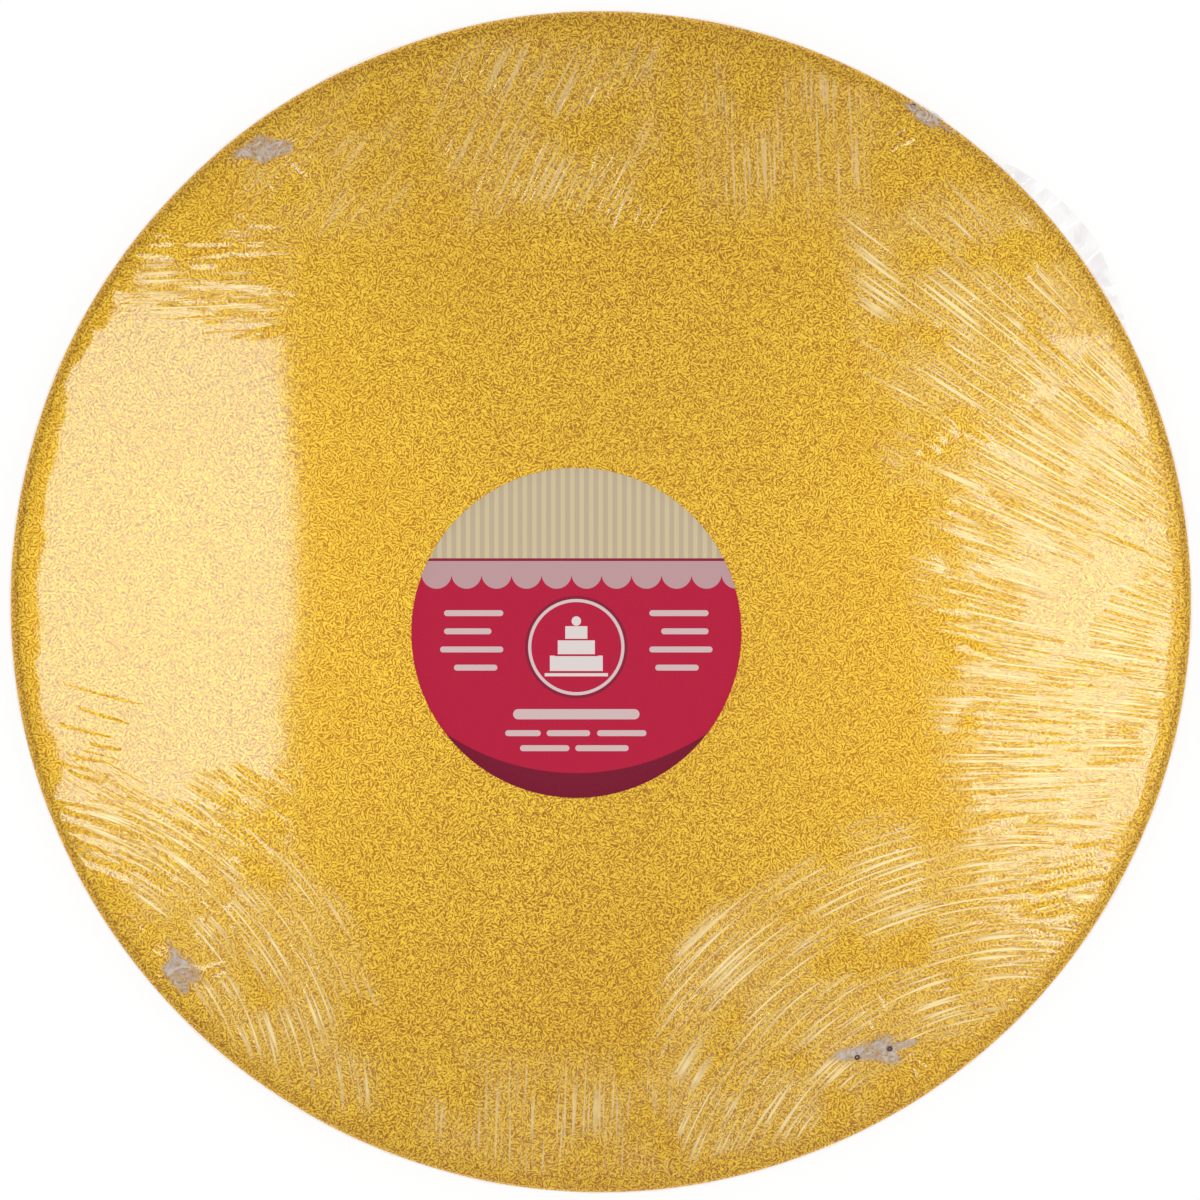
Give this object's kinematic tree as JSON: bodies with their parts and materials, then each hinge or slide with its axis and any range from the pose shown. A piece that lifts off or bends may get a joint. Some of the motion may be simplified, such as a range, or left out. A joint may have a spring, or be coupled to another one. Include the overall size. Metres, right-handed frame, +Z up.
{
  "type": "cake board",
  "caption": "Thick round cake board covered in embossed gold foil paper, in clear shrink film with a round paper label.",
  "frame": {"origin": "middle of the underside, on the face that the board lies on", "axes": "+Z up out of the gold face towards the label, +Y towards the label's top edge, +X to the right seen from above"},
  "size_m": [0.3011, 0.3011, 0.0136],
  "materials": {
    "board": "raw grey-brown board",
    "gold_foil": "gold lacquered foil on paper, with a fine worm-track emboss",
    "liner_paper": "matt white paper",
    "clear_film": "clear glossy shrink film with gathers",
    "label_paper": "printed paper sticker"
  },
  "bodies": {
    "root": {"core_board": "board", "foil_wrap": "gold_foil", "base_liner": "liner_paper", "shrink_film": "clear_film", "face_label": "label_paper"}
  },
  "joints": []
}
